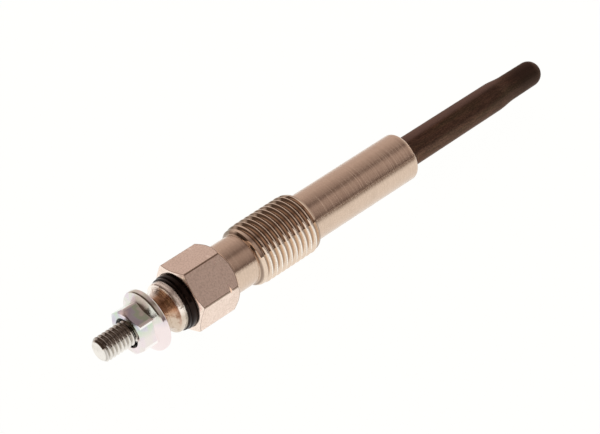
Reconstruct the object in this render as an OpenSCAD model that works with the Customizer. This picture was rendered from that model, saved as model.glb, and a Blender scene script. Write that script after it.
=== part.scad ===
// Sheathed diesel glow plug with a screw terminal.
// It is built upright along Z from the free end of the terminal stud to the heater tip,
// then laid down with the heater tip toward +X, at rest on one hexagon flat and its thread.

/* [Terminal stud] */
// Major diameter of the terminal thread
stud_d = 4; // [3:0.1:5]
// Length of stud that stands clear of the flange nut
stud_free = 5.3; // [3:0.05:12]
// Chamfer on the free end of the stud
stud_chamfer = 0.45; // [0.2:0.05:0.8]
// Radial clearance of what is threaded or pushed over the stud
thread_gap = 0.05; // [0.02:0.01:0.1]
// Diameter of the pole where it runs through the body
pole_d = 3.6; // [2.8:0.1:4]
// Diameter of the pole inside the heater sheath
pole_neck_d = 2.4; // [2.1:0.05:2.8]
// Length of the cone between the two pole diameters
pole_cone = 1.2; // [0.6:0.1:3]
// Length of the pole tip that the control coil is wound over
pole_tip = 3; // [1.5:0.1:5]

/* [Flange nut] */
// Width across the flats of the nut
nut_af = 6.9; // [5.5:0.1:8]
// Diameter of the nut's flat end face, inside its chamfer
nut_face_d = 6.5; // [5.2:0.05:6.8]
// Height of the nut with its flange
nut_h = 4.45; // [2.8:0.05:5]
// Diameter of the nut's flange
nut_flange_d = 9.95; // [8:0.05:9.95]
// Thickness of the flange at its rim
nut_rim = 1.1; // [0.6:0.05:1.2]
// Height of the flange where it meets the hexagon
nut_flange_h = 1.95; // [1.2:0.05:2.5]
// Chamfer on both edges of the flange's rim
nut_rim_chamfer = 0.3; // [0.1:0.05:0.3]
// Depth of the countersink at each end of the nut's thread
nut_sink = 0.45; // [0.1:0.05:0.6]
// Turn of the nut about the plug's axis, from a corner straight up
nut_turn = 2; // [-30:1:30]

/* [Round nut] */
// Diameter of the round nut's neck
collar_neck_d = 5.8; // [5.4:0.1:7.4]
// Diameter of the round nut's rim
collar_rim_d = 8.2; // [7.4:0.05:9]
// Length of the round nut's neck with its flare, as far as the rim
collar_neck_h = 2.85; // [2.5:0.05:5]
// Radius of the flare between the neck and the rim
collar_fillet = 1.5; // [1.2:0.05:2]
// Thickness of the rim
collar_rim = 1.05; // [0.6:0.05:2]
// Rounding of the rim's rear edge, where the flare meets it
collar_edge = 0.35; // [0.1:0.05:0.4]
// Rounding of the round nut's outer end
collar_round = 0.25; // [0.1:0.05:0.3]

/* [Insulating bush] */
// Diameter of the thin lip under the round nut
lip_d = 8.6; // [7.6:0.05:9.5]
// Thickness of the lip
lip_h = 0.5; // [0.15:0.05:0.8]
// Diameter of the bush's band
band_d = 8.9; // [8.4:0.05:9.8]
// Length of the bush's band
band_h = 1.4; // [0.8:0.05:3]
// Rounding of the band's edges
band_round = 0.3; // [0.1:0.05:0.35]
// Depth of the body's mouth that the band sits in
mouth_h = 0.35; // [0.1:0.05:0.8]
// Radial clearance of the band in the body's mouth
mouth_gap = 0.1; // [0.05:0.05:0.2]
// Length of the spigot that centres the bush in the body
spigot_h = 1.7; // [0.8:0.1:3]
// Section of the sealing ring below the spigot
ring_section = 1.16; // [0.8:0.02:1.4]

/* [Plug body] */
// Width across the flats of the hexagon
hex_af = 10; // [9:0.1:14]
// Amount turned off the width across the hexagon's corners
hex_corner_cut = 0.15; // [0.05:0.05:0.5]
// Length of the hexagon
hex_h = 7.7; // [4:0.05:12]
// Width of the chamfer on the hexagon's rear end, in from its corners
hex_rear_width = 0.8; // [0.3:0.05:1.2]
// Depth of the rear chamfer at the hexagon's corners
hex_rear_chamfer = 0.4; // [0.2:0.05:0.8]
// Width of the chamfer on the hexagon's front end, in from its corners
hex_front_width = 0.65; // [0.3:0.05:1.2]
// Depth of the front chamfer at the hexagon's corners
hex_front_chamfer = 0.6; // [0.2:0.05:1]
// Diameter of the shank between the hexagon and the thread
rear_shank_d = 8.25; // [7:0.05:8.8]
// Length of the rear shank
rear_shank_h = 4.85; // [2:0.05:15]
// Major diameter of the mounting thread
thread_d = 10; // [9:0.1:12]
// Length of the mounting thread with its ends
thread_h = 12.2; // [6:0.1:20]
// Length of the steep chamfer at each end of the thread
thread_chamfer = 0.35; // [0.2:0.05:1]
// Length over which the thread rises to its full height at its rear end
thread_rear_lead = 1.45; // [0.5:0.05:2]
// Length over which the thread runs out at its front end
thread_front_lead = 0.95; // [0.5:0.05:2]
// Height that the thread lacks where its leads begin
thread_lead_depth = 0.28; // [0.1:0.02:0.4]
// Diameter of the shank in front of the thread
front_shank_d = 7.95; // [7:0.05:8.8]
// Length of the front shank as far as its seat
front_shank_h = 21.65; // [14:0.05:40]
// Width of the conical seat on the front edge
seat_chamfer = 0.6; // [0.2:0.05:0.7]
// Radial clearance of the pole in the body
pole_gap = 0.6; // [0.3:0.05:0.7]

/* [Heater] */
// Diameter of the sheath where it leaves the body
sheath_d = 5; // [4.85:0.05:6]
// Diameter of the sheath at the start of its taper
sheath_front_d = 4.85; // [4.6:0.05:6]
// Wall of the sheath
sheath_wall = 0.6; // [0.4:0.02:0.65]
// Length of the sheath that is pressed into the body
sheath_held = 12.5; // [8:0.1:13]
// Length of the sheath's full diameter in front of the body
sheath_free = 20.45; // [10:0.05:40]
// Length of the taper to the slim tip
sheath_taper = 3.6; // [1:0.05:5]
// Diameter of the slim tip where the taper ends
tip_rear_d = 4.3; // [4.2:0.05:4.6]
// Diameter of the slim tip behind its round end
tip_d = 4.2; // [4.1:0.05:4.5]
// Length of the slim tip with its round end
tip_h = 7.2; // [5:0.05:12]
// Length of the seal in the sheath's mouth
seal_h = 2.6; // [1:0.1:4]
// Wire diameter of both coils
wire_d = 0.4; // [0.3:0.02:0.44]
// Diameter of both coils at the middle of their wire
coil_d = 2.3; // [2.1:0.05:2.4]
// Turns of the control coil
control_turns = 15; // [8:1:17]
// Pitch of the control coil
control_pitch = 1; // [0.7:0.05:1.1]
// Turns of the heating coil
heating_turns = 12; // [8:1:14]
// Pitch of the heating coil
heating_pitch = 0.75; // [0.6:0.05:1]
// Modelled gap between pieces that are pressed or packed together
fit_gap = 0.02; // [0.01:0.005:0.03]

/* [Hidden] */
$fn = 96;
nib = 0.01;
coil_steps = 12;
wire_sides = 6;

// Heights along the axis, from the free end of the stud
nut_z = stud_free;
collar_z = nut_z + nut_h;
lip_z = collar_z + collar_neck_h + collar_rim;
band_z = lip_z + lip_h;
hex_z = band_z + band_h - mouth_h;
rear_shank_z = hex_z + hex_h;
thread_z = rear_shank_z + rear_shank_h;
front_shank_z = thread_z + thread_h;
seat_z = front_shank_z + front_shank_h;
sheath_z = seat_z - sheath_held;
taper_z = seat_z + sheath_free;
tip_z = taper_z + sheath_taper;
total_h = tip_z + tip_h;

// Radii of the bores and of what runs in them
over_stud_r = stud_d / 2 + thread_gap;
recess_r = stud_d / 2 + ring_section + 2 * fit_gap;
recess_h = mouth_h + spigot_h + ring_section + 2 * fit_gap;
body_bore_r = pole_d / 2 + pole_gap;
sheath_bore_r = sheath_d / 2 + fit_gap;
sheath_inner_r = sheath_d / 2 - sheath_wall;
tip_inner_r = tip_d / 2 - sheath_wall;
round_z = total_h - tip_d / 2;
pole_tip_r = (coil_d - wire_d) / 2 * cos(180 / coil_steps) - fit_gap;

// The coils follow one another from the pole tip to the inside of the round end
stud_end_z = hex_z + recess_h;
cone_z = sheath_z - pole_cone - fit_gap;
heating_end_r = coil_d / 4;
heating_end_z = round_z - wire_d / 2 - fit_gap
    + sqrt(pow(tip_inner_r, 2) - pow(heating_end_r + wire_d / 2, 2));
heating_z = heating_end_z - heating_turns * heating_pitch;
control_z = heating_z - control_turns * control_pitch;
pole_end_z = control_z + pole_tip;

// Lays the upright plug down along X, centred, on its lowest points
module lay_down() {
    translate([-total_h / 2, 0, max(hex_af, thread_d) / 2])
        rotate([0, 90, 0]) children();
}

// A turned solid from an outline of radius and height
module turned(outline) {
    rotate_extrude() polygon(outline);
}

// A hexagon prism, with one flat toward +X when it is turned by 30 degrees
module hexagon(across_flats, height) {
    cylinder(d = across_flats / cos(30), h = height, $fn = 6);
}

// A round wire wound from ring to ring: each ring is a centre radius, an angle and a height
module wound_wire(rings) {
    last = len(rings) - 1;
    points = [for (ring = rings, side = [0 : wire_sides - 1])
        let (
            around = side * 360 / wire_sides,
            radius = ring[0] + wire_d / 2 * cos(around)
        )
        [radius * cos(ring[1]), radius * sin(ring[1]), ring[2] + wire_d / 2 * sin(around)]];
    walls = [for (i = [0 : last - 1], side = [0 : wire_sides - 1])
        let (
            here = i * wire_sides,
            next = here + wire_sides,
            beside = (side + 1) % wire_sides
        )
        each [
            [here + side, here + beside, next + beside],
            [here + side, next + beside, next + side]
        ]];
    first_cap = [for (side = [wire_sides - 1 : -1 : 0]) side];
    last_cap = [for (side = [0 : wire_sides - 1]) last * wire_sides + side];
    polyhedron(points, concat([first_cap], walls, [last_cap]));
}

// The sheath's outline, drawn in from its outer face by a wall
module sheath_outline(inset, from_z) {
    intersection() {
        translate([0, from_z - sheath_d]) square([sheath_d, total_h]);
        union() {
            polygon([
                [0, from_z], [sheath_d / 2 - inset, from_z], [sheath_d / 2 - inset, seat_z],
                [sheath_front_d / 2 - inset, taper_z], [tip_rear_d / 2 - inset, tip_z],
                [tip_d / 2 - inset, round_z], [0, round_z]
            ]);
            translate([0, round_z]) circle(tip_d / 2 - inset);
        }
    }
}

// One rod from the terminal thread to the control coil
module terminal_stud() {
    color("dimgray") turned([
        [0, 0], [stud_d / 2 - stud_chamfer, 0], [stud_d / 2, stud_chamfer],
        [stud_d / 2, stud_end_z], [pole_d / 2, stud_end_z], [pole_d / 2, cone_z],
        [pole_neck_d / 2, cone_z + pole_cone], [pole_neck_d / 2, control_z - wire_d],
        [pole_tip_r, control_z - wire_d], [pole_tip_r, pole_end_z], [0, pole_end_z]
    ]);
}

// Hexagon nut with a conical flange, chamfered outside and countersunk at both ends
module flange_nut() {
    corner_r = nut_af / 2 / cos(30);
    face_r = nut_face_d / 2;
    rim_r = nut_flange_d / 2;
    hex_chamfer = (corner_r - face_r) * tan(30);
    color("lightsteelblue") translate([0, 0, nut_z]) difference() {
        union() {
            rotate(nut_turn) intersection() {
                hexagon(nut_af, nut_h - nut_rim / 2);
                turned([
                    [0, 0], [face_r, 0], [corner_r, hex_chamfer], [corner_r, nut_h], [0, nut_h]
                ]);
            }
            turned([
                [0, nut_h - nut_flange_h], [face_r, nut_h - nut_flange_h],
                [rim_r - nut_rim_chamfer, nut_h - nut_rim], [rim_r, nut_h - nut_rim + nut_rim_chamfer],
                [rim_r, nut_h - nut_rim_chamfer], [rim_r - nut_rim_chamfer, nut_h], [0, nut_h]
            ]);
        }
        turned([
            [0, -nib], [over_stud_r + nut_sink + nib, -nib], [over_stud_r, nut_sink],
            [over_stud_r, nut_h - nut_sink], [over_stud_r + nut_sink + nib, nut_h + nib], [0, nut_h + nib]
        ]);
    }
}

// Turned clamping nut: a neck, a concave flare and a rim with a rounded rear edge
module round_nut() {
    neck_r = collar_neck_d / 2;
    rim_r = collar_rim_d / 2;
    step = rim_r - neck_r;
    flare_r = neck_r + collar_fillet;
    flare_z = collar_neck_h - sqrt(2 * collar_fillet * step - step * step);
    edge_r = rim_r - collar_edge;
    edge_z = flare_z + sqrt(pow(collar_fillet + collar_edge, 2) - pow(flare_r - edge_r, 2));
    share = collar_fillet / (collar_fillet + collar_edge);
    meet_r = flare_r + (edge_r - flare_r) * share;
    meet_z = flare_z + (edge_z - flare_z) * share;
    color("rosybrown") translate([0, 0, collar_z]) rotate_extrude() {
        translate([over_stud_r, 0]) square([neck_r - collar_round - over_stud_r, collar_neck_h]);
        translate([over_stud_r, collar_round])
            square([neck_r - over_stud_r, collar_neck_h - collar_round]);
        translate([neck_r - collar_round, collar_round]) circle(collar_round);
        difference() {
            translate([over_stud_r, flare_z])
                square([rim_r - over_stud_r, collar_neck_h + collar_rim - flare_z]);
            translate([flare_r, flare_z]) circle(collar_fillet);
            polygon([[meet_r, meet_z], [rim_r + nib, meet_z], [rim_r + nib, edge_z], [edge_r, edge_z]]);
        }
        translate([edge_r, edge_z]) circle(collar_edge);
    }
}

// Moulded bush: a thin lip under the round nut, a rounded band in the body's mouth and a spigot
module insulating_bush() {
    spigot_r = recess_r - fit_gap;
    band_r = band_d / 2;
    color("black") translate([0, 0, lip_z]) rotate_extrude() {
        translate([over_stud_r, 0]) square([lip_d / 2 - over_stud_r, lip_h]);
        translate([over_stud_r, lip_h]) square([band_r - band_round - over_stud_r, band_h]);
        translate([over_stud_r, lip_h + band_round])
            square([band_r - over_stud_r, band_h - 2 * band_round]);
        for (edge_z = [lip_h + band_round, lip_h + band_h - band_round])
            translate([band_r - band_round, edge_z]) circle(band_round);
        translate([over_stud_r, lip_h + band_h - nib])
            square([spigot_r - over_stud_r, spigot_h + nib]);
    }
}

// Rubber ring squeezed between the stud, the spigot and the floor of the body's recess
module sealing_ring() {
    color("darkslategray") translate([0, 0, hex_z + mouth_h + spigot_h + fit_gap + ring_section / 2])
        rotate_extrude() translate([stud_d / 2 + fit_gap + ring_section / 2, 0]) circle(ring_section / 2);
}

// One turned body: chamfered hexagon, shanks, thread and stepped bores
module plug_body() {
    hex_r = (hex_af / cos(30) - hex_corner_cut) / 2;
    mouth_r = band_d / 2 + mouth_gap;
    rear_r = rear_shank_d / 2;
    thread_r = thread_d / 2;
    lead_r = thread_r - thread_lead_depth;
    lead_rear_z = thread_z + thread_chamfer;
    lead_front_z = front_shank_z - thread_chamfer;
    front_r = front_shank_d / 2;
    color("tan") difference() {
        union() {
            intersection() {
                translate([0, 0, hex_z]) rotate(30) hexagon(hex_af, hex_h);
                turned([
                    [0, hex_z - nib], [hex_r - hex_rear_width, hex_z], [hex_r, hex_z + hex_rear_chamfer],
                    [hex_r, rear_shank_z - hex_front_chamfer], [hex_r - hex_front_width, rear_shank_z],
                    [0, rear_shank_z + nib]
                ]);
            }
            turned([
                [0, rear_shank_z - nib], [rear_r, rear_shank_z - nib], [rear_r, thread_z],
                [lead_r, lead_rear_z], [thread_r, lead_rear_z + thread_rear_lead],
                [thread_r, lead_front_z - thread_front_lead], [lead_r, lead_front_z],
                [front_r, front_shank_z],
                [front_r, seat_z - seat_chamfer], [front_r - seat_chamfer, seat_z], [0, seat_z]
            ]);
        }
        turned([
            [0, hex_z - 1], [mouth_r, hex_z - 1], [mouth_r, hex_z + mouth_h],
            [recess_r, hex_z + mouth_h], [recess_r, hex_z + recess_h],
            [body_bore_r, hex_z + recess_h], [body_bore_r, sheath_z], [sheath_bore_r, sheath_z],
            [sheath_bore_r, seat_z + 1], [0, seat_z + 1]
        ]);
    }
}

// Closed tube, swaged down to a slim tip with a round end
module heater_sheath() {
    color("saddlebrown") rotate_extrude() difference() {
        sheath_outline(0, sheath_z);
        sheath_outline(sheath_wall, sheath_z - nib);
    }
}

// Rubber bush that closes the sheath's mouth around the pole
module sheath_seal() {
    color("dimgray") translate([0, 0, sheath_z]) rotate_extrude()
        translate([pole_neck_d / 2 + fit_gap, 0])
            square([sheath_inner_r - pole_neck_d / 2 - 2 * fit_gap, seal_h]);
}

// Coil from the pole tip to the heating coil
module control_coil() {
    color("goldenrod") wound_wire([for (i = [0 : control_turns * coil_steps])
        [coil_d / 2, i * 360 / coil_steps, control_z + i / coil_steps * control_pitch]]);
}

// Coil from the control coil to the sheath's round end, drawn in on its last turn
module heating_coil() {
    last = heating_turns * coil_steps;
    color("orangered") wound_wire([for (i = [0 : last])
        let (left = (last - i) / coil_steps)
        [heating_end_r + (coil_d / 2 - heating_end_r) * min(1, left), i * 360 / coil_steps,
            heating_z + i / coil_steps * heating_pitch]]);
}

// Packed powder that holds the coils clear of the sheath
module magnesia_filling() {
    color("white") difference() {
        rotate_extrude() difference() {
            sheath_outline(sheath_wall + fit_gap, sheath_z + seal_h + fit_gap);
            polygon([
                [-1, sheath_z], [pole_neck_d / 2 + fit_gap, sheath_z],
                [pole_neck_d / 2 + fit_gap, control_z - wire_d + fit_gap],
                [coil_d / 2, control_z - wire_d + fit_gap],
                [coil_d / 2, pole_end_z + fit_gap], [-1, pole_end_z + fit_gap]
            ]);
        }
        control_coil();
        heating_coil();
    }
}

lay_down() terminal_stud();
lay_down() flange_nut();
lay_down() round_nut();
lay_down() insulating_bush();
lay_down() sealing_ring();
lay_down() plug_body();
lay_down() heater_sheath();
lay_down() sheath_seal();
lay_down() control_coil();
lay_down() heating_coil();
lay_down() magnesia_filling();
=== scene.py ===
from math import asin, cos, degrees, pi, radians, sin, sqrt, tan

import bpy
from mathutils import Matrix, Vector


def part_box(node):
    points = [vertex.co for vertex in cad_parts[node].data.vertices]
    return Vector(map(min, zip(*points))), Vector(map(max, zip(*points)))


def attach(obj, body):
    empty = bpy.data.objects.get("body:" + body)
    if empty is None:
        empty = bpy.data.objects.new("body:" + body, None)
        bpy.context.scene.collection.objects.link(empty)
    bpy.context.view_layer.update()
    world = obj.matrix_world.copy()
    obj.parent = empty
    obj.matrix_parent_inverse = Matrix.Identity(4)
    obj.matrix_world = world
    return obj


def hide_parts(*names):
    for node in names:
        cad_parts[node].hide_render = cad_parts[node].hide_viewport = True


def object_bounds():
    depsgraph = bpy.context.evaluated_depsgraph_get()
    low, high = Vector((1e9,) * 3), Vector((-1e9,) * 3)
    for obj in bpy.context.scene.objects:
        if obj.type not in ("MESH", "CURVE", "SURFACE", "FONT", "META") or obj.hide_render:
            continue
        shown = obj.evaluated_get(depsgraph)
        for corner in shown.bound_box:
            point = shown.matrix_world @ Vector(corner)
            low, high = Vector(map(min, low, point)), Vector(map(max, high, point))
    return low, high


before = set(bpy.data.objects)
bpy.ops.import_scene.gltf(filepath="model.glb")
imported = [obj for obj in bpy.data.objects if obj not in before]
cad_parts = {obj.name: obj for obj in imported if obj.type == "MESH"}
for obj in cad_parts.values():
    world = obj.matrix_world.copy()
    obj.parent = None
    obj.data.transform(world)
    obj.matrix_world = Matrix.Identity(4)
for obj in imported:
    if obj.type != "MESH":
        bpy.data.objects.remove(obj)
cad_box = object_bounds()

# Plug body.
# One steel bar, turned, milled to a hexagon, cut with an M10 thread and plated with satin nickel.
# The sheath is pressed into its front end, and the bush and the stud sit in its bore.
MM = 0.001
body_low, body_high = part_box("plug_body")
sheath_low, sheath_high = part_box("heater_sheath")
axis_z = (sheath_low.z + sheath_high.z) / 2
lathe_steps = 144
bevel_segments = 3
crease_angle = radians(30)
weld_distance = 0.0005 * MM
cut_distance = 0.0001 * MM
spare = 1 * MM
crest_clearance = 0.01 * MM
press_gap = 0.02 * MM

hex_af = 10 * MM
hex_length = 7.7 * MM
hex_corner_bevel = 0.14 * MM
hex_rear_face_r = 4.9 * MM
hex_rear_chamfer = 0.4 * MM
hex_front_face_r = 5.05 * MM
hex_front_chamfer = 0.6 * MM
rear_shank_r = 4.125 * MM
rear_shank_length = 4.85 * MM
thread_r = 5 * MM
thread_pitch = 1 * MM
thread_length = 12.2 * MM
thread_chamfer = 0.35 * MM
thread_rear_lead = 1.45 * MM
thread_front_lead = 0.95 * MM
thread_lead_r = 4.72 * MM
front_shank_r = 3.975 * MM
seat_width = 0.6 * MM
seat_land = 0.2 * MM
recess_r = 3.2 * MM
recess_depth = 3.25 * MM
mouth_r = 4.55 * MM
mouth_depth = 0.35 * MM
body_bore_r = 2.4 * MM
bore_step = 0.01 * MM
overlap = 0.8 * MM
nick_place = 5.75 * MM
nick_size = 1 * MM
nick_stretch = 4
nick_depth = 0.3 * MM
nick_width = 0.36 * MM

hex_rear = body_low.x
hex_front = hex_rear + hex_length
thread_rear = hex_front + rear_shank_length
thread_front = thread_rear + thread_length
thread_blank_r = thread_r + crest_clearance
seat_front = body_high.x
sheath_bore_r = (sheath_high.z - sheath_low.z) / 2 + press_gap


def activate(piece):
    """Selects one piece alone, for the operators that follow."""
    bpy.ops.object.select_all(action="DESELECT")
    piece.select_set(True)
    bpy.context.view_layer.objects.active = piece


def weld(piece):
    """Merges doubled points and turns all faces outwards."""
    activate(piece)
    bpy.ops.object.mode_set(mode="EDIT")
    bpy.ops.mesh.select_all(action="SELECT")
    bpy.ops.mesh.remove_doubles(threshold=weld_distance)
    bpy.ops.mesh.normals_make_consistent(inside=False)
    bpy.ops.object.mode_set(mode="OBJECT")


def lathe(name, outline, pitch=0.0, turns=1, steps=lathe_steps):
    """Turns an outline of (x, radius) points about the plug's axis, along a helix if it has a pitch."""
    bpy.ops.object.select_all(action="DESELECT")
    bpy.ops.mesh.primitive_plane_add(size=MM)
    piece = bpy.context.object
    piece.name = piece.data.name = name
    bpy.ops.object.mode_set(mode="EDIT")
    bpy.ops.mesh.select_mode(type="VERT")
    bpy.ops.mesh.select_all(action="SELECT")
    bpy.ops.mesh.merge(type="CENTER")
    x, r = outline[0]
    bpy.ops.transform.translate(value=(x, 0, r))
    for next_x, next_r in outline[1:]:
        bpy.ops.mesh.extrude_vertices_move(TRANSFORM_OT_translate={"value": (next_x - x, 0, next_r - r)})
        x, r = next_x, next_r
    bpy.ops.object.mode_set(mode="OBJECT")
    turn = piece.modifiers.new("lathe", "SCREW")
    turn.axis = "X"
    turn.angle = 2 * pi
    turn.screw_offset = pitch
    turn.iterations = turns
    turn.steps = turn.render_steps = steps
    bpy.ops.object.modifier_apply(modifier=turn.name)
    piece.location.z = axis_z
    bpy.ops.object.transform_apply(location=True, rotation=False, scale=False)
    weld(piece)
    return piece


def turned_solid(name, outline):
    """A solid of revolution whose outline starts and ends on the axis."""
    first_x, last_x = outline[0][0], outline[-1][0]
    return lathe(name, [(first_x, 0), *outline, (last_x, 0)])


def turned_ring(name, outline):
    """A ring whose outline closes on itself."""
    return lathe(name, [*outline, outline[0]])


def arc(centre_x, centre_r, radius, start, end, count=8):
    """Points along an arc in the outline's plane, with angles in degrees from +X toward larger radius."""
    angles = [radians(start + (end - start) * i / count) for i in range(count + 1)]
    return [(centre_x + radius * cos(a), centre_r + radius * sin(a)) for a in angles]


def combine(piece, tool, operation):
    """Joins, cuts or trims a piece with a tool, which is used up."""
    boolean = piece.modifiers.new("combine", "BOOLEAN")
    boolean.operation = operation
    boolean.solver = "EXACT"
    boolean.object = tool
    activate(piece)
    bpy.ops.object.modifier_apply(modifier=boolean.name)
    bpy.data.objects.remove(tool)
    weld(piece)


def threaded_rod(name, start, end, rear_end, front_end, crest_r, pitch, steps=96):
    """A right-hand 60 degree thread with rounded crests and roots, running out into wider plain ends."""
    crest_round = 0.19 * pitch
    root_round = 0.13 * pitch
    run_out = 1.35
    spare_turns = 2
    flank = radians(60)
    rounds_width = 2 * (crest_round + root_round) * sin(flank)
    flank_height = (pitch - rounds_width) / 2 * tan(flank)
    depth = (crest_round + root_round) * (1 - cos(flank)) + flank_height
    root_centre_r = crest_r - depth + root_round
    first = start - spare_turns * pitch
    groove = [
        *arc(first, root_centre_r, root_round, 270, 330, 3),
        *arc(first + pitch / 2, crest_r - crest_round, crest_round, 150, 30, 6),
        *arc(first + pitch, root_centre_r, root_round, 210, 270, 3),
    ]
    turns = int((end - start) / pitch) + 3 * spare_turns
    rod = lathe(name, groove, pitch, turns, steps)
    bpy.ops.object.mode_set(mode="EDIT")
    for cut_x, far_x, towards in ((start, rear_end, -1), (end, front_end, 1)):
        wide_x = cut_x + towards * pitch
        bpy.ops.mesh.select_all(action="SELECT")
        bpy.ops.mesh.bisect(plane_co=(cut_x, 0, axis_z), plane_no=(towards, 0, 0), clear_outer=True,
                            threshold=cut_distance)
        bpy.ops.mesh.extrude_edges_move(TRANSFORM_OT_translate={"value": (wide_x - cut_x, 0, 0)})
        bpy.ops.transform.resize(value=(1, run_out, run_out), center_override=(wide_x, 0, axis_z))
        bpy.ops.mesh.extrude_edges_move(TRANSFORM_OT_translate={"value": (far_x - wide_x, 0, 0)})
    bpy.ops.mesh.select_all(action="SELECT")
    bpy.ops.mesh.fill_holes(sides=0)
    bpy.ops.object.mode_set(mode="OBJECT")
    return rod


def hexagon_prism(name, rear, front, across_flats, corner_bevel, turn=0.0):
    """A hexagon prism along X with flats up and down, its long edges bevelled."""
    bpy.ops.object.select_all(action="DESELECT")
    bpy.ops.mesh.primitive_cylinder_add(
        vertices=6, radius=across_flats / sqrt(3), depth=front - rear,
        location=((rear + front) / 2, 0, axis_z))
    prism = bpy.context.object
    prism.name = prism.data.name = name
    prism.rotation_euler = (Matrix.Rotation(turn, 3, "X") @ Matrix.Rotation(pi / 2, 3, "Y")).to_euler()
    bpy.ops.object.transform_apply(location=True, rotation=True, scale=True)
    for edge in prism.data.edges:
        low, high = (prism.data.vertices[i].co for i in edge.vertices)
        edge.select = abs(low.x - high.x) > (front - rear) / 2
    bpy.ops.object.mode_set(mode="EDIT")
    bpy.ops.mesh.select_mode(type="EDGE")
    bpy.ops.mesh.bevel(offset=corner_bevel, segments=bevel_segments, affect="EDGES")
    bpy.ops.object.mode_set(mode="OBJECT")
    return prism


def smooth(piece):
    """Shades a finished piece smooth, apart from its edges."""
    activate(piece)
    bpy.ops.object.shade_smooth_by_angle(angle=crease_angle)
    even = piece.modifiers.new("even_normals", "WEIGHTED_NORMAL")
    even.keep_sharp = True
    bpy.ops.object.modifier_apply(modifier=even.name)


hex_corner_r = (body_high.y - body_low.y) / 2
body = hexagon_prism("body_with_thread", hex_rear - spare, hex_front + spare, hex_af, hex_corner_bevel)
combine(body, turned_ring("hex_blank", [
    (hex_rear, mouth_r), (hex_rear, hex_rear_face_r),
    (hex_rear + hex_rear_chamfer, hex_corner_r), (hex_front - hex_front_chamfer, hex_corner_r),
    (hex_front, hex_front_face_r), (hex_front, body_bore_r),
    (hex_rear + recess_depth, body_bore_r), (hex_rear + recess_depth, recess_r),
    (hex_rear + mouth_depth, recess_r), (hex_rear + mouth_depth, mouth_r),
]), "INTERSECT")
nick_y = -hex_corner_r - nick_size / sqrt(2) + nick_depth
bpy.ops.object.select_all(action="DESELECT")
bpy.ops.mesh.primitive_cube_add(
    size=nick_size, location=(hex_rear + nick_place, nick_y, axis_z),
    rotation=(0, 0, pi / 4), scale=(1, 1, nick_stretch))
nick = bpy.context.object
bpy.ops.object.transform_apply(location=False, rotation=True, scale=True)
nick.scale.x = nick_width / (2 * nick_depth)
bpy.ops.object.transform_apply(location=True, rotation=False, scale=True)
combine(body, nick, "DIFFERENCE")
combine(body, turned_ring("shank_blank", [
    (hex_front - overlap, rear_shank_r), (thread_rear, rear_shank_r),
    (thread_rear + thread_chamfer, thread_lead_r),
    (thread_rear + thread_chamfer + thread_rear_lead, thread_blank_r),
    (thread_front - thread_chamfer - thread_front_lead, thread_blank_r),
    (thread_front - thread_chamfer, thread_lead_r), (thread_front, front_shank_r),
    *arc(seat_front - seat_width, front_shank_r - seat_width, seat_width, 90, 20),
    (seat_front, sheath_bore_r + seat_land), (seat_front, sheath_bore_r),
    (sheath_low.x, sheath_bore_r), (sheath_low.x, body_bore_r - bore_step),
    (hex_front - overlap / 2, body_bore_r - bore_step), (hex_front - overlap / 2, recess_r),
    (hex_front - overlap, recess_r),
]), "UNION")
combine(body, threaded_rod(
    "thread", thread_rear - spare, thread_front + spare, hex_rear - spare, seat_front + spare,
    thread_r, thread_pitch), "INTERSECT")
smooth(body)


def add_node(tree, kind, inputs=None, **settings):
    """Adds a shader node, sets its options and fills its inputs with values or links."""
    made = tree.nodes.new(kind)
    for name, value in settings.items():
        setattr(made, name, value)
    for name, value in (inputs or {}).items():
        if isinstance(value, bpy.types.NodeSocket):
            tree.links.new(value, made.inputs[name])
        else:
            made.inputs[name].default_value = value
    return made


def new_material(name, roughness, metallic):
    """A material with an even shader, and the Object coordinates that its patterns follow."""
    material = bpy.data.materials.new(name)
    material.use_nodes = True
    tree = material.node_tree
    shader = tree.nodes["Principled BSDF"]
    shader.inputs["Roughness"].default_value = roughness
    shader.inputs["Metallic"].default_value = metallic
    coords = add_node(tree, "ShaderNodeTexCoord").outputs["Object"]
    return material, tree, shader, coords


def ramp(tree, factor, stops):
    """A colour ramp with (position, colour) stops."""
    made = add_node(tree, "ShaderNodeValToRGB", {"Fac": factor})
    elements = made.color_ramp.elements
    while len(elements) < len(stops):
        elements.new(1.0)
    for element, (position, colour) in zip(elements, stops):
        element.position = position
        element.color = (*colour, 1)
    return made.outputs["Color"]


def mix_colour(tree, factor, first, second):
    """A colour between two colours."""
    made = add_node(tree, "ShaderNodeMix", data_type="RGBA")
    for socket, value in ((made.inputs[0], factor), (made.inputs[6], first), (made.inputs[7], second)):
        if isinstance(value, bpy.types.NodeSocket):
            tree.links.new(value, socket)
        elif isinstance(value, tuple):
            socket.default_value = (*value, 1)
        else:
            socket.default_value = value
    return made.outputs[2]


def between(tree, value, low, high, to_low=0.0, to_high=1.0):
    """Maps a value from one span to another, clamped."""
    return add_node(tree, "ShaderNodeMapRange", {
        "Value": value, "From Min": low, "From Max": high, "To Min": to_low, "To Max": to_high,
    }).outputs["Result"]


def shift(tree, mask, off, on):
    """A value that goes from off to on as a mask goes from zero to one."""
    return between(tree, mask, 0.0, 1.0, off, on)


def calculate(tree, operation, first, second):
    """One sum of two values."""
    return add_node(tree, "ShaderNodeMath", {0: first, 1: second}, operation=operation).outputs[0]


def times(tree, first, second):
    """Two values multiplied."""
    return calculate(tree, "MULTIPLY", first, second)


def larger(tree, first, second):
    """The larger of two values."""
    return calculate(tree, "MAXIMUM", first, second)


def opposite(tree, mask):
    """A mask with its ones and zeros exchanged."""
    return calculate(tree, "SUBTRACT", 1.0, mask)


def split(tree, vector):
    """The three parts of a place: along the plug, across it and up."""
    made = add_node(tree, "ShaderNodeSeparateXYZ", {"Vector": vector})
    return made.outputs["X"], made.outputs["Y"], made.outputs["Z"]


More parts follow.
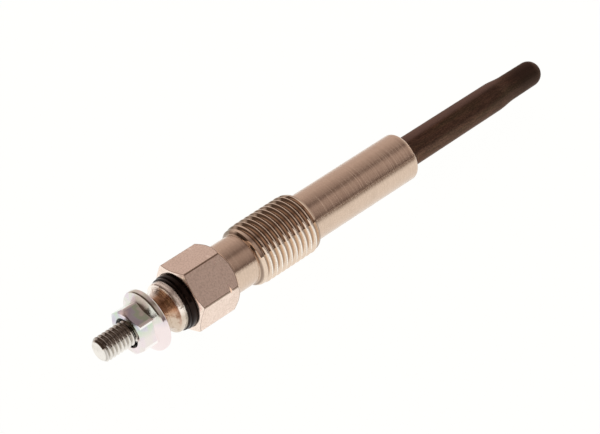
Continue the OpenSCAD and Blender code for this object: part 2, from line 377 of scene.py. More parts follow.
def noise(tree, vector, scale, detail):
    """The value of a noise pattern."""
    return add_node(tree, "ShaderNodeTexNoise", {
        "Vector": vector, "Scale": scale, "Detail": detail,
    }).outputs["Fac"]


def assign(piece, material):
    """Gives a piece its one material."""
    piece.data.materials.clear()
    piece.data.materials.append(material)


def new_group(name, numbers, results):
    """A node group for a vector and some numbers, and the inputs to use inside it."""
    group = bpy.data.node_groups.new(name, "ShaderNodeTree")
    group.interface.new_socket("Vector", in_out="INPUT", socket_type="NodeSocketVector")
    for number in numbers:
        group.interface.new_socket(number, in_out="INPUT", socket_type="NodeSocketFloat")
    for result in results:
        group.interface.new_socket(result, in_out="OUTPUT", socket_type="NodeSocketFloat")
    return group, add_node(group, "NodeGroupInput").outputs


blotches, given = new_group("blotches", ("Scale", "Threshold", "Softness"), ("Mask",))
cloud = add_node(blotches, "ShaderNodeTexNoise", {
    "Vector": given["Vector"], "Scale": given["Scale"], "Detail": 6.0, "Roughness": 0.62,
}).outputs["Fac"]
cloud_top = calculate(blotches, "ADD", given["Threshold"], given["Softness"])
add_node(blotches, "NodeGroupOutput", {"Mask": between(blotches, cloud, given["Threshold"], cloud_top)})

turning, given = new_group("turning_lines", ("Lines per metre",), ("Height",))
along, _, _ = split(turning, given["Vector"])
tool_line = add_node(turning, "ShaderNodeTexNoise", {
    "W": times(turning, along, given["Lines per metre"]), "Scale": 1.0, "Detail": 3.0, "Roughness": 0.7,
}, noise_dimensions="1D").outputs["Fac"]
add_node(turning, "NodeGroupOutput", {"Height": tool_line})

from_axis, given = new_group("radius_from_axis", (), ("Radius",))
_, across, height = split(from_axis, given["Vector"])
above = calculate(from_axis, "SUBTRACT", height, axis_z)
squares = calculate(from_axis, "ADD", times(from_axis, across, across), times(from_axis, above, above))
add_node(from_axis, "NodeGroupOutput", {"Radius": calculate(from_axis, "SQRT", squares, 0.0)})


def blotch_mask(tree, vector, scale, threshold, softness):
    """Places the blotches group with its own values."""
    return add_node(tree, "ShaderNodeGroup", {
        "Vector": vector, "Scale": scale, "Threshold": threshold, "Softness": softness,
    }, node_tree=blotches).outputs["Mask"]


def turning_lines(tree, vector, lines):
    """Places the turning group: the height of the lines that a lathe tool leaves."""
    return add_node(tree, "ShaderNodeGroup", {
        "Vector": vector, "Lines per metre": lines,
    }, node_tree=turning).outputs["Height"]


def radius_from_axis(tree, vector):
    """Places the group that measures the radius from the plug's axis."""
    return add_node(tree, "ShaderNodeGroup", {"Vector": vector}, node_tree=from_axis).outputs["Radius"]


def bump(tree, shader, height, strength, distance):
    """Feeds a height to the shader as relief."""
    made = add_node(tree, "ShaderNodeBump", {"Height": height, "Strength": strength, "Distance": distance})
    tree.links.new(made.outputs["Normal"], shader.inputs["Normal"])


hex_nickel = (1.0, 0.83, 0.725)
shank_nickel = (0.73, 0.565, 0.445)
thread_nickel = (0.83, 0.67, 0.535)
# Colour of the painted shade in the thread's roots and at its last turn.
thread_painted_shade = (0.16, 0.10, 0.07)
thread_far_shade = (0.12, 0.095, 0.058)
edge_painted_dark = (0.24, 0.16, 0.11)
crest_highlight_tan = (0.9, 0.74, 0.60)
crest_highlight_white = (1.0, 0.95, 0.88)
nickel_stain = (0.52, 0.40, 0.31)
no_relief = (0.5, 0.5, 0.5)
hex_end_span = (hex_front - 0.05 * MM, hex_front + 0.05 * MM)
hex_edge_span = (hex_corner_r - 0.015 * MM, hex_corner_r - 0.005 * MM)
chamfer_span = (0.01 * MM, 0.03 * MM)
end_line_span = (0.06 * MM, 0.14 * MM)
nick_side_span = (nick_width / 2, nick_width / 2 + 0.05 * MM)
nick_floor_span = (hex_corner_r - 0.45 * MM, hex_corner_r - 0.35 * MM)
thread_fade = 0.1 * MM
root_span = (thread_r - 0.58 * MM, thread_r - 0.36 * MM)
crest_span = (thread_r - 0.07 * MM, thread_r - 0.02 * MM)
far_shade_span = (0.3 * MM, 2.0 * MM)
far_shade_back_span = (2.9 * MM, 4.2 * MM)
crest_glint_span = (-4.1 * MM, -4.6 * MM)
last_turn_shade_span = (thread_front - 0.8 * MM, thread_front - 0.5 * MM)
last_turn_shade_side_span = (0.4 * MM, 1.4 * MM)
speckle_span = (0.42, 0.62)
speckle_share = 0.32
grain_span = (0.3, 0.7)
grain_roughness = (-0.03, 0.05)
nickel_roughness = (0.15, 0.45)
thread_polish = 0.1
stain_shares = (0.35, 0.15)
crest_shares = (1.0, 0.55)
edge_line_share = 0.9
rear_slope = hex_rear_chamfer / (hex_corner_r - hex_rear_face_r)
front_slope = hex_front_chamfer / (hex_corner_r - hex_front_face_r)

nickel, tree, shader, coords = new_material("satin_nickel", roughness=0.25, metallic=1.0)
along, across, _ = split(tree, coords)
tool_height = turning_lines(tree, coords, lines=3600.0)
radius = radius_from_axis(tree, coords)
on_hex = between(tree, along, *hex_end_span, 1.0, 0.0)
plating = mix_colour(tree, on_hex, shank_nickel, hex_nickel)
stained = blotch_mask(tree, coords, scale=350.0, threshold=0.52, softness=0.25)
stain_amount = times(tree, stained, shift(tree, on_hex, *stain_shares))
plating = mix_colour(tree, stain_amount, plating, nickel_stain)
in_thread = times(
    tree, between(tree, along, thread_rear, thread_rear + thread_fade),
    between(tree, along, thread_front - thread_fade, thread_front, 1.0, 0.0))
# Painted shade: the thread's far half is darkened towards olive brown in place of the dark reflections it
# shows, fading out at the very back.
far_side_shade = between(tree, across, *far_shade_span, 0.0, 0.95)
far_side_shade = times(tree, far_side_shade, between(tree, across, *far_shade_back_span, 1.0, 0.3))
plating = mix_colour(tree, in_thread, plating, mix_colour(tree, far_side_shade, thread_nickel, thread_far_shade))
# Painted shade: the thread's roots are darkened where the flanks shade each other.
root_shade = between(tree, radius, *root_span, 0.9, 0.0)
plating = mix_colour(tree, times(tree, in_thread, root_shade), plating, thread_painted_shade)
on_edge = between(tree, radius, *hex_edge_span)
rear_rise = times(tree, calculate(tree, "SUBTRACT", radius, hex_rear_face_r), rear_slope)
rear_rise = larger(tree, rear_rise, 0.0)
past_rear = calculate(tree, "SUBTRACT", calculate(tree, "SUBTRACT", along, hex_rear), rear_rise)
front_rise = times(tree, calculate(tree, "SUBTRACT", radius, hex_front_face_r), front_slope)
front_rise = larger(tree, front_rise, 0.0)
past_front = calculate(tree, "SUBTRACT", calculate(tree, "SUBTRACT", hex_front, along), front_rise)
past_end = calculate(tree, "MINIMUM", past_rear, past_front)
on_chamfer = times(tree, between(tree, past_end, *chamfer_span, 1.0, 0.0), on_hex)
end_line = times(tree, between(tree, past_end, *end_line_span, 1.0, 0.0), on_hex)
end_line = calculate(tree, "SUBTRACT", end_line, on_chamfer)
# Painted reflection: thin dark brown lines along the hexagon's long edges and near its end chamfers.
painted_dark_lines = larger(tree, on_edge, end_line)
plating = mix_colour(tree, times(tree, painted_dark_lines, edge_line_share), plating, edge_painted_dark)
# Painted highlight: the crests are lighter than the flanks as lines of reflected light, whiter on the near
# side and dimmer on the far side.
crest_highlight = times(tree, in_thread, between(tree, radius, *crest_span))
crest_highlight = times(tree, crest_highlight, shift(tree, far_side_shade, *crest_shares))
painted_light_and_wear = between(tree, across, *crest_glint_span)
plating = mix_colour(tree, crest_highlight, plating, mix_colour(tree, painted_light_and_wear, crest_highlight_tan, crest_highlight_white))
# Painted shade: the thread's last turn is darkened, most on the near side, to damp its reflections.
last_turn_shade = between(tree, along, *last_turn_shade_span, 0.0, 0.75)
last_turn_shade = times(tree, last_turn_shade, between(tree, across, *last_turn_shade_side_span, 1.0, 0.2))
plating = mix_colour(tree, times(tree, in_thread, last_turn_shade), plating, thread_painted_shade)
grain = noise(tree, coords, scale=3600.0, detail=4.0)
ring_mark = times(tree, between(tree, tool_height, *speckle_span), opposite(tree, on_hex))
speckle = larger(tree, between(tree, grain, *speckle_span), ring_mark)
speckle = times(tree, speckle, speckle_share)
tree.links.new(mix_colour(tree, speckle, plating, nickel_stain), shader.inputs["Base Color"])
off_nick = calculate(tree, "ABSOLUTE", calculate(tree, "SUBTRACT", along, hex_rear + nick_place), 0.0)
at_nick = between(tree, off_nick, *nick_side_span, 1.0, 0.0)
at_nick = times(tree, at_nick, between(tree, radius, *nick_floor_span))
polished = larger(tree, on_edge, larger(tree, on_chamfer, at_nick))
on_flat = times(tree, on_hex, opposite(tree, polished))
satin = shift(tree, on_flat, *nickel_roughness)
satin = calculate(tree, "SUBTRACT", satin, times(tree, in_thread, thread_polish))
satin = calculate(tree, "ADD", satin, between(tree, grain, *grain_span, *grain_roughness))
tree.links.new(satin, shader.inputs["Roughness"])
relief = mix_colour(tree, on_hex, tool_height, grain)
relief = mix_colour(tree, larger(tree, in_thread, polished), relief, no_relief)
bump(tree, shader, relief, strength=0.6, distance=0.07 * MM)
assign(body, nickel)
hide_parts("plug_body")
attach(body, "root")

# Terminal stud.
# A steel rod with a rolled M4 thread at its free end, smudged by handling, with painted shade along its
# top and in its thread's roots.
# Its inner half is the pole that carries the current to the coils.
stud_low, stud_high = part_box("terminal_stud")
stud_r = 2 * MM
stud_pitch = 0.7 * MM
stud_thread_length = 12 * MM
stud_end_r = 1.5 * MM
stud_chamfer = 0.5 * MM
stud_run_out = 0.45 * MM
stud_front_chamfer = 0.3 * MM
stud_steps = 72
pole_r = 1.8 * MM
pole_neck_r = 1.2 * MM
pole_tip_r = 0.89 * MM
pole_cone_length = 1.2 * MM
pole_tip_length = 3.4 * MM

thread_end = stud_low.x + stud_thread_length
stud_blank_r = stud_r + crest_clearance
stud = threaded_rod(
    "terminal_stud_with_thread", stud_low.x - spare, thread_end + stud_run_out,
    stud_low.x - 3 * spare, stud_high.x + spare, stud_r, stud_pitch, stud_steps)
combine(stud, turned_solid("stud_blank", [
    (stud_low.x, stud_end_r), (stud_low.x + stud_chamfer, stud_blank_r),
    (thread_end - stud_front_chamfer, stud_blank_r), (thread_end, pole_r),
    (sheath_low.x - pole_cone_length, pole_r), (sheath_low.x, pole_neck_r),
    (stud_high.x - pole_tip_length, pole_neck_r),
    (stud_high.x - pole_tip_length, pole_tip_r), (stud_high.x, pole_tip_r),
]), "INTERSECT")
smooth(stud)

stud_bright = (0.88, 0.84, 0.78)
stud_dark = (0.20, 0.17, 0.145)
stud_end_span = (stud_low.x + 0.05 * MM, stud_low.x + 0.15 * MM)
stud_root_span = (stud_r - 0.4 * MM, stud_r - 0.15 * MM)
top_shade_span = (axis_z - 0.4 * MM, axis_z + 1.2 * MM)
smudge_share = 0.3
stud_roughness = (0.08, 0.2)

steel, tree, shader, coords = new_material("darkened_steel", roughness=0.28, metallic=1.0)
tool_height = turning_lines(tree, coords, lines=6000.0)
radius = radius_from_axis(tree, coords)
along, _, height = split(tree, coords)
behind_end = between(tree, along, *stud_end_span)
# Painted shade in the thread's roots.
root_shade = between(tree, radius, *stud_root_span, 0.6, 0.0)
root_shade = times(tree, root_shade, behind_end)
smudged = blotch_mask(tree, coords, scale=700.0, threshold=0.42, softness=0.35)
# Painted shade: the stud darkens towards its top, standing for the dark surroundings that its upper half
# reflects.
top_shade = between(tree, height, *top_shade_span, 0.0, 0.55)
top_shade = times(tree, top_shade, behind_end)
smudge_and_top_shade = larger(tree, top_shade, times(tree, smudged, smudge_share))
tone = mix_colour(tree, smudge_and_top_shade, stud_bright, stud_dark)
tree.links.new(mix_colour(tree, root_shade, tone, stud_dark), shader.inputs["Base Color"])
tree.links.new(shift(tree, smudged, *stud_roughness), shader.inputs["Roughness"])
bump(tree, shader, tool_height, strength=0.1, distance=0.01 * MM)
assign(stud, steel)
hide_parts("terminal_stud")
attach(stud, "root")

# Flange nut.
# A cold-formed hexagon nut with a flange, zinc plated and blue passivated, so its faces shimmer.
# It screws on the terminal stud and clamps the cable's eye.
nut_low, nut_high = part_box("flange_nut")
nut_af = 6.9 * MM
nut_corner_bevel = 0.18 * MM
nut_face_r = 3.25 * MM
nut_bore_r = 2.05 * MM
nut_sink = 0.45 * MM
nut_flange_r = (nut_high.z - nut_low.z) / 2
nut_flange_height = 1.95 * MM
nut_rim_height = 1.1 * MM
nut_rim_round = 0.35 * MM
nut_turn = radians(32)
nut_chamfer_angle = radians(30)
nut_blank_rise = 3 * MM

nut = hexagon_prism(
    "flange_nut_plated", nut_low.x - spare, nut_high.x - nut_rim_height / 2, nut_af, nut_corner_bevel,
    nut_turn)
combine(nut, turned_solid("nut_blank", [
    (nut_low.x, nut_face_r),
    (nut_low.x + nut_blank_rise * tan(nut_chamfer_angle), nut_face_r + nut_blank_rise),
    (nut_high.x + spare, nut_face_r + nut_blank_rise),
]), "INTERSECT")
flange_rear = nut_high.x - nut_flange_height
rim_rear = nut_high.x - nut_rim_height
combine(nut, turned_solid("flange", [
    (flange_rear, nut_face_r),
    *arc(rim_rear + nut_rim_round, nut_flange_r - nut_rim_round, nut_rim_round, 170, 90, 6),
    *arc(nut_high.x - nut_rim_round, nut_flange_r - nut_rim_round, nut_rim_round, 90, 0, 6),
]), "UNION")
nut_sink_r = nut_bore_r + nut_sink
combine(nut, turned_solid("nut_bore", [
    (nut_low.x - spare, nut_sink_r + spare), (nut_low.x + nut_sink, nut_bore_r),
    (nut_high.x - nut_sink, nut_bore_r), (nut_high.x + spare, nut_sink_r + spare),
]), "DIFFERENCE")
smooth(nut)

zinc_blue = (0.62, 0.64, 0.70)
zinc_green = (0.58, 0.71, 0.55)
zinc_violet = (0.60, 0.55, 0.66)
zinc_pale = (0.93, 0.815, 0.81)
zinc_painted_glint = (1.0, 0.97, 0.95)
nut_shadow = (0.02, 0.018, 0.016)
nut_corner_r = nut_af / sqrt(3)
nut_corner_span = (nut_corner_r - 0.22 * MM, nut_corner_r - 0.14 * MM)
nut_bore_span = (nut_sink_r - 0.08 * MM, nut_sink_r)
nut_painted_light_span = (axis_z - 0.5 * MM, axis_z + 1.5 * MM)
flange_span = (flange_rear, flange_rear + 0.2 * MM)
flange_rub = 0.5
worn_share = 0.4
zinc_roughness = (0.14, 0.28)

zinc, tree, shader, coords = new_material("passivated_zinc", roughness=0.26, metallic=1.0)
shimmer = noise(tree, coords, scale=420.0, detail=1.5)
film = ramp(tree, shimmer, [
    (0.30, zinc_pale), (0.40, zinc_green), (0.50, zinc_green), (0.57, zinc_blue), (0.65, zinc_violet),
    (0.78, zinc_pale),
])
worn = blotch_mask(tree, coords, scale=900.0, threshold=0.5, softness=0.3)
along, _, height = split(tree, coords)
# Painted light: the film fades to pale towards the bottom, where the nut is lit; the flange and the worn
# patches are paler too.
painted_light_and_wear = between(tree, height, *nut_painted_light_span, 0.8, 0.05)
on_flange = between(tree, along, *flange_span)
painted_light_and_wear = calculate(tree, "ADD", painted_light_and_wear, times(tree, on_flange, flange_rub))
painted_light_and_wear = larger(tree, painted_light_and_wear, times(tree, worn, worn_share))
tone = mix_colour(tree, painted_light_and_wear, film, zinc_pale)
radius = radius_from_axis(tree, coords)
# Painted highlight: near-white lines along the hexagon's corners, as glints.
corner_glint = between(tree, radius, *nut_corner_span)
corner_glint = times(tree, corner_glint, opposite(tree, on_flange))
tone = mix_colour(tree, corner_glint, tone, zinc_painted_glint)
in_bore = between(tree, radius, *nut_bore_span, 1.0, 0.0)
tree.links.new(mix_colour(tree, in_bore, tone, nut_shadow), shader.inputs["Base Color"])
tree.links.new(shift(tree, worn, *zinc_roughness), shader.inputs["Roughness"])
peen = noise(tree, coords, scale=2600.0, detail=2.0)
bump(tree, shader, peen, strength=0.15, distance=0.02 * MM)
assign(nut, zinc)
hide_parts("flange_nut")
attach(nut, "root")

# Round nut.
# A turned and brightly nickelled collar that clamps the bush, with a concave flare up to a rounded rim.
# Handling has left brown stains on it.
collar_low, collar_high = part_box("round_nut")
collar_rim_r = (collar_high.z - collar_low.z) / 2
collar_neck_r = 2.9 * MM
collar_bore_r = 2.05 * MM
collar_rim_length = 1.05 * MM
collar_fillet = 1.5 * MM
collar_round = 0.25 * MM
collar_edge = 0.35 * MM
collar_front_edge = 0.08 * MM

flare_r = collar_neck_r + collar_fillet
flare_x = collar_high.x - collar_rim_length - sqrt(collar_fillet ** 2 - (flare_r - collar_rim_r) ** 2)
edge_r = collar_rim_r - collar_edge
edge_lean = asin((flare_r - edge_r) / (collar_fillet + collar_edge))
edge_x = flare_x + (collar_fillet + collar_edge) * cos(edge_lean)
collar = turned_ring("clamping_collar", [
    (collar_low.x, collar_bore_r),
    *arc(collar_low.x + collar_round, collar_neck_r - collar_round, collar_round, 180, 90, 8),
    *arc(flare_x, flare_r, collar_fillet, 270, 360 - degrees(edge_lean), 18),
    *arc(edge_x, edge_r, collar_edge, 180 - degrees(edge_lean), 90, 8),
    *arc(collar_high.x - collar_front_edge, collar_rim_r - collar_front_edge, collar_front_edge, 90, 0, 3),
    (collar_high.x, collar_bore_r),
])
smooth(collar)

collar_bright = (1.0, 0.92, 0.84)
collar_painted_reflection = (0.52, 0.30, 0.18)
collar_brown = (0.30, 0.15, 0.07)
collar_dull = (0.68, 0.57, 0.46)
collar_rim_span = (collar_rim_r - 0.45 * MM, collar_rim_r - 0.15 * MM)
collar_back_side_span = (-0.7 * MM, 0.3 * MM)
collar_low_span = (axis_z + 1.0 * MM, axis_z - 0.2 * MM)
collar_stain_shares = (0.85, 0.1)
collar_roughness = (0.07, 0.2)
tool_line_share = 0.3

bright, tree, shader, coords = new_material("bright_nickel", roughness=0.08, metallic=1.0)
tool_height = turning_lines(tree, coords, lines=7000.0)
radius = radius_from_axis(tree, coords)
stained = blotch_mask(tree, coords, scale=640.0, threshold=0.5, softness=0.12)
_, across, height = split(tree, coords)
# Painted reflection: the flare is warm brown on its front half and bright on the rim and back half.
rim_and_back_side = between(tree, radius, *collar_rim_span)
rim_and_back_side = larger(tree, rim_and_back_side, between(tree, across, *collar_back_side_span))
tone = mix_colour(tree, rim_and_back_side, collar_painted_reflection, collar_bright)
# Duller and paler towards the bottom.
low_side = between(tree, height, *collar_low_span, 0.0, 0.85)
tone = mix_colour(tree, low_side, tone, collar_dull)
stain_amount = times(tree, stained, shift(tree, rim_and_back_side, *collar_stain_shares))
tree.links.new(mix_colour(tree, stain_amount, tone, collar_brown), shader.inputs["Base Color"])
tree.links.new(shift(tree, stained, *collar_roughness), shader.inputs["Roughness"])
dents = noise(tree, coords, scale=900.0, detail=2.0)
relief = mix_colour(tree, tool_line_share, dents, tool_height)
bump(tree, shader, relief, strength=0.9, distance=0.22 * MM)
assign(collar, bright)
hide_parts("round_nut")
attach(collar, "root")

# Insulating bush.
# A black moulding between the collar and the body: a thin lip, a rounded band, and a spigot in the bore.
# It keeps the current of the stud off the body.
bush_low, bush_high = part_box("insulating_bush")
bush_band_r = (bush_high.z - bush_low.z) / 2
bush_bore_r = 2.05 * MM
bush_lip_r = 4.3 * MM
bush_lip_length = 0.5 * MM
bush_lip_round = 0.1 * MM
bush_band_round = 0.3 * MM
bush_spigot_r = 3.18 * MM
bush_groove = 0.1 * MM

band_rear = bush_low.x + bush_lip_length
band_front = hex_rear + mouth_depth
bush = turned_ring("insulating_bush_moulded", [
    (bush_low.x, bush_bore_r),
    *arc(bush_low.x + bush_lip_round, bush_lip_r - bush_lip_round, bush_lip_round, 180, 90, 3),
    *arc(band_rear - bush_lip_round, bush_lip_r - bush_lip_round, bush_lip_round, 90, 0, 3),
    (band_rear, bush_band_r - bush_band_round - bush_groove),
    *arc(band_rear + bush_band_round, bush_band_r - bush_band_round, bush_band_round, 180, 90, 5),
    *arc(band_front - bush_band_round, bush_band_r - bush_band_round, bush_band_round, 90, 0, 5),
    (band_front, bush_spigot_r), (bush_high.x, bush_spigot_r), (bush_high.x, bush_bore_r),
])
smooth(bush)

bush_black = (0.004, 0.0035, 0.0035)
bush_scuff = (0.04, 0.022, 0.016)
bush_roughness = (0.16, 0.4)
bush_gloss = 0.22
bush_gloss_tint = (1.0, 0.62, 0.5, 1)

moulding, tree, shader, coords = new_material("black_moulding", roughness=0.34, metallic=0.0)
shader.inputs["Specular IOR Level"].default_value = bush_gloss
shader.inputs["Specular Tint"].default_value = bush_gloss_tint
scuffed = blotch_mask(tree, coords, scale=1500.0, threshold=0.55, softness=0.2)
tree.links.new(mix_colour(tree, scuffed, bush_black, bush_scuff), shader.inputs["Base Color"])
tree.links.new(shift(tree, scuffed, *bush_roughness), shader.inputs["Roughness"])
skin = noise(tree, coords, scale=4200.0, detail=2.0)
bump(tree, shader, skin, strength=0.2, distance=0.02 * MM)
assign(bush, moulding)
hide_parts("insulating_bush")
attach(bush, "root")

# Heater sheath.
# A drawn tube of heat-resistant alloy, closed and rounded at its tip and swaged slimmer there.
# Heat has turned it dark brown, with an olive and rust mottle along its length.
sheath_r = (sheath_high.z - sheath_low.z) / 2
sheath_front_r = 2.425 * MM
tip_rear_r = 2.15 * MM
tip_r = 2.1 * MM
sheath_wall = 0.6 * MM
taper_length = 3.6 * MM
tip_length = 7.2 * MM
tip_start = 6
swage_steps = 12

tip_rear = sheath_high.x - tip_length
taper_rear = tip_rear - taper_length
round_x = sheath_high.x - tip_r
swage = [
    (taper_rear + taper_length * i / swage_steps,
     sheath_front_r + (tip_rear_r - sheath_front_r) * (1 - cos(pi * i / swage_steps)) / 2)
    for i in range(swage_steps + 1)
]
sheath = lathe("heater_sheath_oxidised", [
    (sheath_high.x, 0),
    *arc(round_x, 0, tip_r, tip_start, 90, 14),
    *reversed(swage),
    (seat_front, sheath_r), (sheath_low.x, sheath_r), (sheath_low.x, sheath_r - sheath_wall),
    (seat_front, sheath_r - sheath_wall), (taper_rear, sheath_front_r - sheath_wall),
    (tip_rear, tip_rear_r - sheath_wall),
    *reversed(arc(round_x, 0, tip_r - sheath_wall, tip_start, 90, 10)),
    (sheath_high.x - sheath_wall, 0),
])
smooth(sheath)

oxide_brown = (0.190, 0.106, 0.072)
oxide_olive = (0.170, 0.118, 0.066)
oxide_rust = (0.220, 0.100, 0.062)
oxide_dark = (0.044, 0.028, 0.022)
oxide_painted_sheen = (0.25, 0.165, 0.145)
oxide_gloss_tint = (0.8, 0.7, 0.66, 1)
oxide_roughness = (0.42, 0.54)
mottle_stretch = (0.12, 1.0, 1.0)
darker_share = 0.6
streak_span = (0.4, 0.6)
grit_span = (0.42, 0.62)
burnt_span = (taper_rear, tip_rear + 2 * MM)
top_sheen_span = (axis_z + 2.18 * MM, axis_z + 2.42 * MM)

oxide, tree, shader, coords = new_material("heat_oxide", roughness=0.4, metallic=1.0)
shader.inputs["Specular Tint"].default_value = oxide_gloss_tint
stretched = add_node(tree, "ShaderNodeMapping", {
    "Vector": coords, "Scale": mottle_stretch,
}).outputs["Vector"]
along, _, height = split(tree, coords)
tool_height = turning_lines(tree, coords, lines=3500.0)
olive = blotch_mask(tree, stretched, scale=650.0, threshold=0.46, softness=0.2)
rusty = blotch_mask(tree, stretched, scale=1100.0, threshold=0.56, softness=0.3)
darker = blotch_mask(tree, stretched, scale=380.0, threshold=0.5, softness=0.25)
tone = mix_colour(tree, olive, oxide_brown, oxide_olive)
tone = mix_colour(tree, rusty, tone, oxide_rust)
tone = mix_colour(tree, times(tree, darker, darker_share), tone, oxide_dark)
streak = noise(tree, stretched, scale=5200.0, detail=4.0)
tone = mix_colour(tree, between(tree, streak, *streak_span, 0.0, 0.45), tone, oxide_dark)
grit = noise(tree, coords, scale=4600.0, detail=3.0)
tone = mix_colour(tree, between(tree, grit, *grit_span, 0.0, 0.55), tone, oxide_dark)
burnt = between(tree, along, *burnt_span, 0.0, 0.85)
burnt = larger(tree, burnt, between(tree, along, seat_front, taper_rear, 0.05, 0.4))
tone = mix_colour(tree, burnt, tone, oxide_dark)
# Painted sheen: a paler band along the sheath's top edge, for the sheen it shows at grazing angles.
top_sheen = between(tree, height, *top_sheen_span, 0.0, 0.55)
tree.links.new(mix_colour(tree, top_sheen, tone, oxide_painted_sheen), shader.inputs["Base Color"])
tree.links.new(shift(tree, olive, *oxide_roughness), shader.inputs["Roughness"])
bump(tree, shader, tool_height, strength=0.12, distance=0.02 * MM)
assign(sheath, oxide)
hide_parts("heater_sheath")
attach(sheath, "root")

# Seals.
# Two rubber rings that no one sees: one around the stud below the bush, one in the sheath's mouth.
# They are pressed in as they are, so they keep their plain turned form.
seal_grey = (0.03, 0.03, 0.03)
seal_bloom = (0.07, 0.07, 0.068)
rubber, tree, shader, coords = new_material("seal_rubber", roughness=0.7, metallic=0.0)
bloom = blotch_mask(tree, coords, scale=1800.0, threshold=0.5, softness=0.3)
tree.links.new(mix_colour(tree, bloom, seal_grey, seal_bloom), shader.inputs["Base Color"])
for node_name in ("sealing_ring", "sheath_seal"):
    assign(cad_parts[node_name], rubber)

# Coils.
# Resistance wire, wound and welded in line between the pole and the sheath's tip.
# Drawing leaves the wire slightly uneven in tone.
coil_finishes = {
    "control_coil": ((0.62, 0.58, 0.50), (0.45, 0.42, 0.37)),
    "heating_coil": ((0.46, 0.42, 0.39), (0.30, 0.26, 0.24)),
}
for node_name, (wire_light, wire_dark) in coil_finishes.items():
    wire, tree, shader, coords = new_material(node_name + "_wire", roughness=0.32, metallic=1.0)
    drawn = blotch_mask(tree, coords, scale=2600.0, threshold=0.4, softness=0.3)
    tree.links.new(mix_colour(tree, drawn, wire_light, wire_dark), shader.inputs["Base Color"])
    assign(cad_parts[node_name], wire)

# Magnesia filling.
# White powder, rolled tight around the coils when the sheath is swaged down.
# It shows fine grains where it is broken.
powder_white = (0.86, 0.85, 0.82)
powder_shade = (0.74, 0.73, 0.70)
powder, tree, shader, coords = new_material("packed_magnesia", roughness=0.9, metallic=0.0)
grains = blotch_mask(tree, coords, scale=5200.0, threshold=0.35, softness=0.4)
tree.links.new(mix_colour(tree, grains, powder_white, powder_shade), shader.inputs["Base Color"])
assign(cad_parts["magnesia_filling"], powder)

# Floor and tent.
# The plug lies on a white table under an arched cloth, whose folds show as soft bands in the metal.
# The table is bright near the plug and dimmer further off.
scene = bpy.context.scene
scene.view_settings.view_transform = "Standard"
floor_white = (1.0, 1.0, 0.985)
floor_dim = (0.26, 0.21, 0.18)
floor_far = (0.45, 0.37, 0.33)
floor_strength = 1.05
table_white = (0.85, 0.85, 0.84, 1)
floor_size = 6.0
floor_gap = 0.01 * MM
shadow_share = 0.06
bright_reach = 13 * MM
dim_reach = 34 * MM
dim_slant = 0.4
dim_side = -12 * MM
dim_softness = 3 * MM
far_from = 70 * MM
far_to = 130 * MM


def seen_share(tree):
    """One for rays from the camera, gloss or glass and zero for others, and the node that tells them."""
    path = add_node(tree, "ShaderNodeLightPath")
    share = larger(tree, path.outputs["Is Camera Ray"], path.outputs["Is Glossy Ray"])
    return larger(tree, share, path.outputs["Is Transmission Ray"]), path


bpy.ops.object.select_all(action="DESELECT")
bpy.ops.mesh.primitive_plane_add(size=floor_size, location=(0, 0, cad_box[0].z - floor_gap))
floor = bpy.context.object
floor.name = "floor"
bpy.ops.object.transform_apply(location=True, rotation=False, scale=False)
table, tree, shader, coords = new_material("white_table", roughness=0.9, metallic=0.0)
shader.inputs["Base Color"].default_value = table_white
share, path = seen_share(tree)
along, across, _ = split(tree, coords)
away = between(tree, across, -bright_reach, -dim_reach)
slanted = calculate(tree, "ADD", along, times(tree, across, dim_slant))
away = times(tree, away, between(tree, slanted, dim_side - dim_softness, dim_side + dim_softness))
dimmed = times(tree, away, path.outputs["Is Glossy Ray"])
away_tone = mix_colour(tree, between(tree, across, -far_from, -far_to), floor_dim, floor_far)
glow = add_node(tree, "ShaderNodeEmission", {
    "Color": mix_colour(tree, dimmed, floor_white, away_tone), "Strength": floor_strength,
})
blend = add_node(tree, "ShaderNodeMixShader", {
    0: times(tree, share, 1 - shadow_share), 1: shader.outputs[0], 2: glow.outputs[0],
})
tree.links.new(blend.outputs[0], tree.nodes["Material Output"].inputs["Surface"])
assign(floor, table)

tent_radius = 0.9
tent_length = 5.0
tent_facets = 96
tent_foot = -0.02
tent_end_margin = 0.01
cloth_tint = (1.0, 0.88, 0.82)
cloth_depth = (1.0, 1.09, 1.11)
tent_rear_tone = (0.05, 0.036, 0.028)
tent_front_tone = (1.0, 0.92, 0.86)
dim_tone = (0.09, 0.06, 0.045)
dim_lean_span = (radians(-79), radians(-71))
dim_along_span = (-0.25, 0.1)
glow_lean_span = (radians(66), radians(78))
glow_along_span = (-0.15, 0.05)
front_span = (0.9, 1.4)
cloth_bands = [
    (-90, 0.74), (-58, 0.66), (-36, 0.64), (-13, 0.48), (7, 0.35), (17, 0.225), (24, 0.23),
    (34, 0.40), (43, 0.455), (58, 0.41), (74, 0.315), (90, 0.11),
]
bpy.ops.object.select_all(action="DESELECT")
bpy.ops.mesh.primitive_cylinder_add(
    vertices=tent_facets, radius=tent_radius, depth=tent_length, end_fill_type="NGON",
    rotation=(0, pi / 2, 0))
tent = bpy.context.object
tent.name = "tent"
bpy.ops.object.transform_apply(location=True, rotation=True, scale=True)
bpy.ops.object.mode_set(mode="EDIT")
bpy.ops.mesh.select_all(action="SELECT")
bpy.ops.mesh.bisect(plane_co=(0, 0, tent_foot), plane_no=(0, 0, -1), clear_outer=True)
bpy.ops.object.mode_set(mode="OBJECT")
tent.visible_camera = False
tent.visible_shadow = False
cloth, tree, _, coords = new_material("arched_cloth", roughness=1.0, metallic=0.0)
along, across, height = split(tree, coords)
lean = calculate(tree, "ARCTAN2", times(tree, across, -1.0), height)
band_tone = ramp(tree, between(tree, lean, -pi / 2, pi / 2), [
    ((angle + 90) / 180, tuple(tint * level ** depth for tint, depth in zip(cloth_tint, cloth_depth)))
    for angle, level in cloth_bands
])
dim_share = times(
    tree, between(tree, along, *dim_along_span, 1.0, 0.0), between(tree, lean, *dim_lean_span))
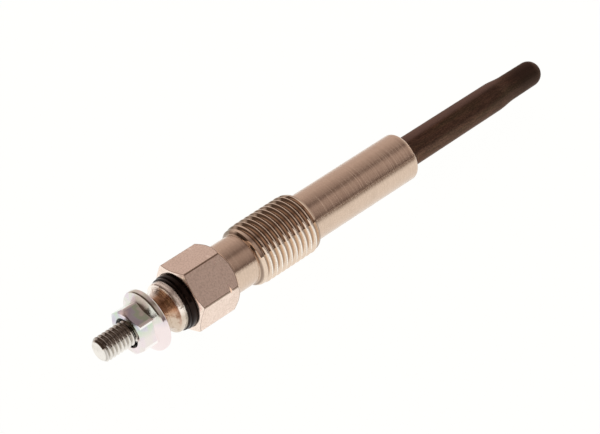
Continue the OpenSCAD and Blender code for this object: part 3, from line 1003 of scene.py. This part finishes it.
cloth_tone = mix_colour(tree, dim_share, band_tone, dim_tone)
cloth_tone = mix_colour(tree, between(tree, along, *front_span), cloth_tone, tent_front_tone)
low_glow = times(
    tree, between(tree, along, *glow_along_span, 1.0, 0.0), between(tree, lean, *glow_lean_span))
cloth_tone = mix_colour(tree, low_glow, cloth_tone, tent_front_tone)
at_rear = calculate(tree, "LESS_THAN", along, tent_end_margin - tent_length / 2)
at_front = calculate(tree, "GREATER_THAN", along, tent_length / 2 - tent_end_margin)
cloth_tone = mix_colour(tree, at_rear, cloth_tone, tent_rear_tone)
cloth_tone = mix_colour(tree, at_front, cloth_tone, tent_front_tone)
cloth_glow = add_node(tree, "ShaderNodeEmission", {"Color": cloth_tone, "Strength": 1.0})
tree.links.new(cloth_glow.outputs[0], tree.nodes["Material Output"].inputs["Surface"])
assign(tent, cloth)

sky_strength = 0.5
world = bpy.data.worlds.new("studio")
scene.world = world
world.use_nodes = True
tree = world.node_tree
share, _ = seen_share(tree)
background = tree.nodes["Background"]
background.inputs["Color"].default_value = (*floor_white, 1)
tree.links.new(shift(tree, share, sky_strength, 1.0), background.inputs["Strength"])

# Camera.
# It looks down on the plug from its terminal end, rolled so that the axis climbs to the right.
picture_width = 600
picture_height = 434
focal_pixels = 2366
axis_point_pixel = (302.0, 220.1)
axis_point_from_end = 40.2 * MM
axis_climb = radians(32.8)
stand_off = 0.360
view_along = radians(30)
view_lean = radians(57)
film_width = 36
nearest_view = 0.01

axis_point = Vector((cad_box[0].x + axis_point_from_end, 0, axis_z))
toward_camera = Vector((
    -sin(view_along), -cos(view_along) * sin(view_lean), cos(view_along) * cos(view_lean)))
axis_in_picture = Vector((1, 0, 0)) - toward_camera * toward_camera.x
axis_in_picture.normalize()
across_in_picture = toward_camera.cross(axis_in_picture)
right = axis_in_picture * cos(axis_climb) - across_in_picture * sin(axis_climb)
up = axis_in_picture * sin(axis_climb) + across_in_picture * cos(axis_climb)
metres_per_pixel = stand_off / focal_pixels
slide_right = (picture_width / 2 - axis_point_pixel[0]) * metres_per_pixel
slide_up = (axis_point_pixel[1] - picture_height / 2) * metres_per_pixel
bpy.ops.object.camera_add()
camera = bpy.context.object
camera.matrix_world = Matrix((
    (right.x, up.x, toward_camera.x, 0), (right.y, up.y, toward_camera.y, 0),
    (right.z, up.z, toward_camera.z, 0), (0, 0, 0, 1)))
camera.location = axis_point + toward_camera * stand_off + right * slide_right + up * slide_up
camera.data.sensor_width = film_width
camera.data.lens = focal_pixels * film_width / picture_width
camera.data.clip_start = nearest_view
scene.camera = camera
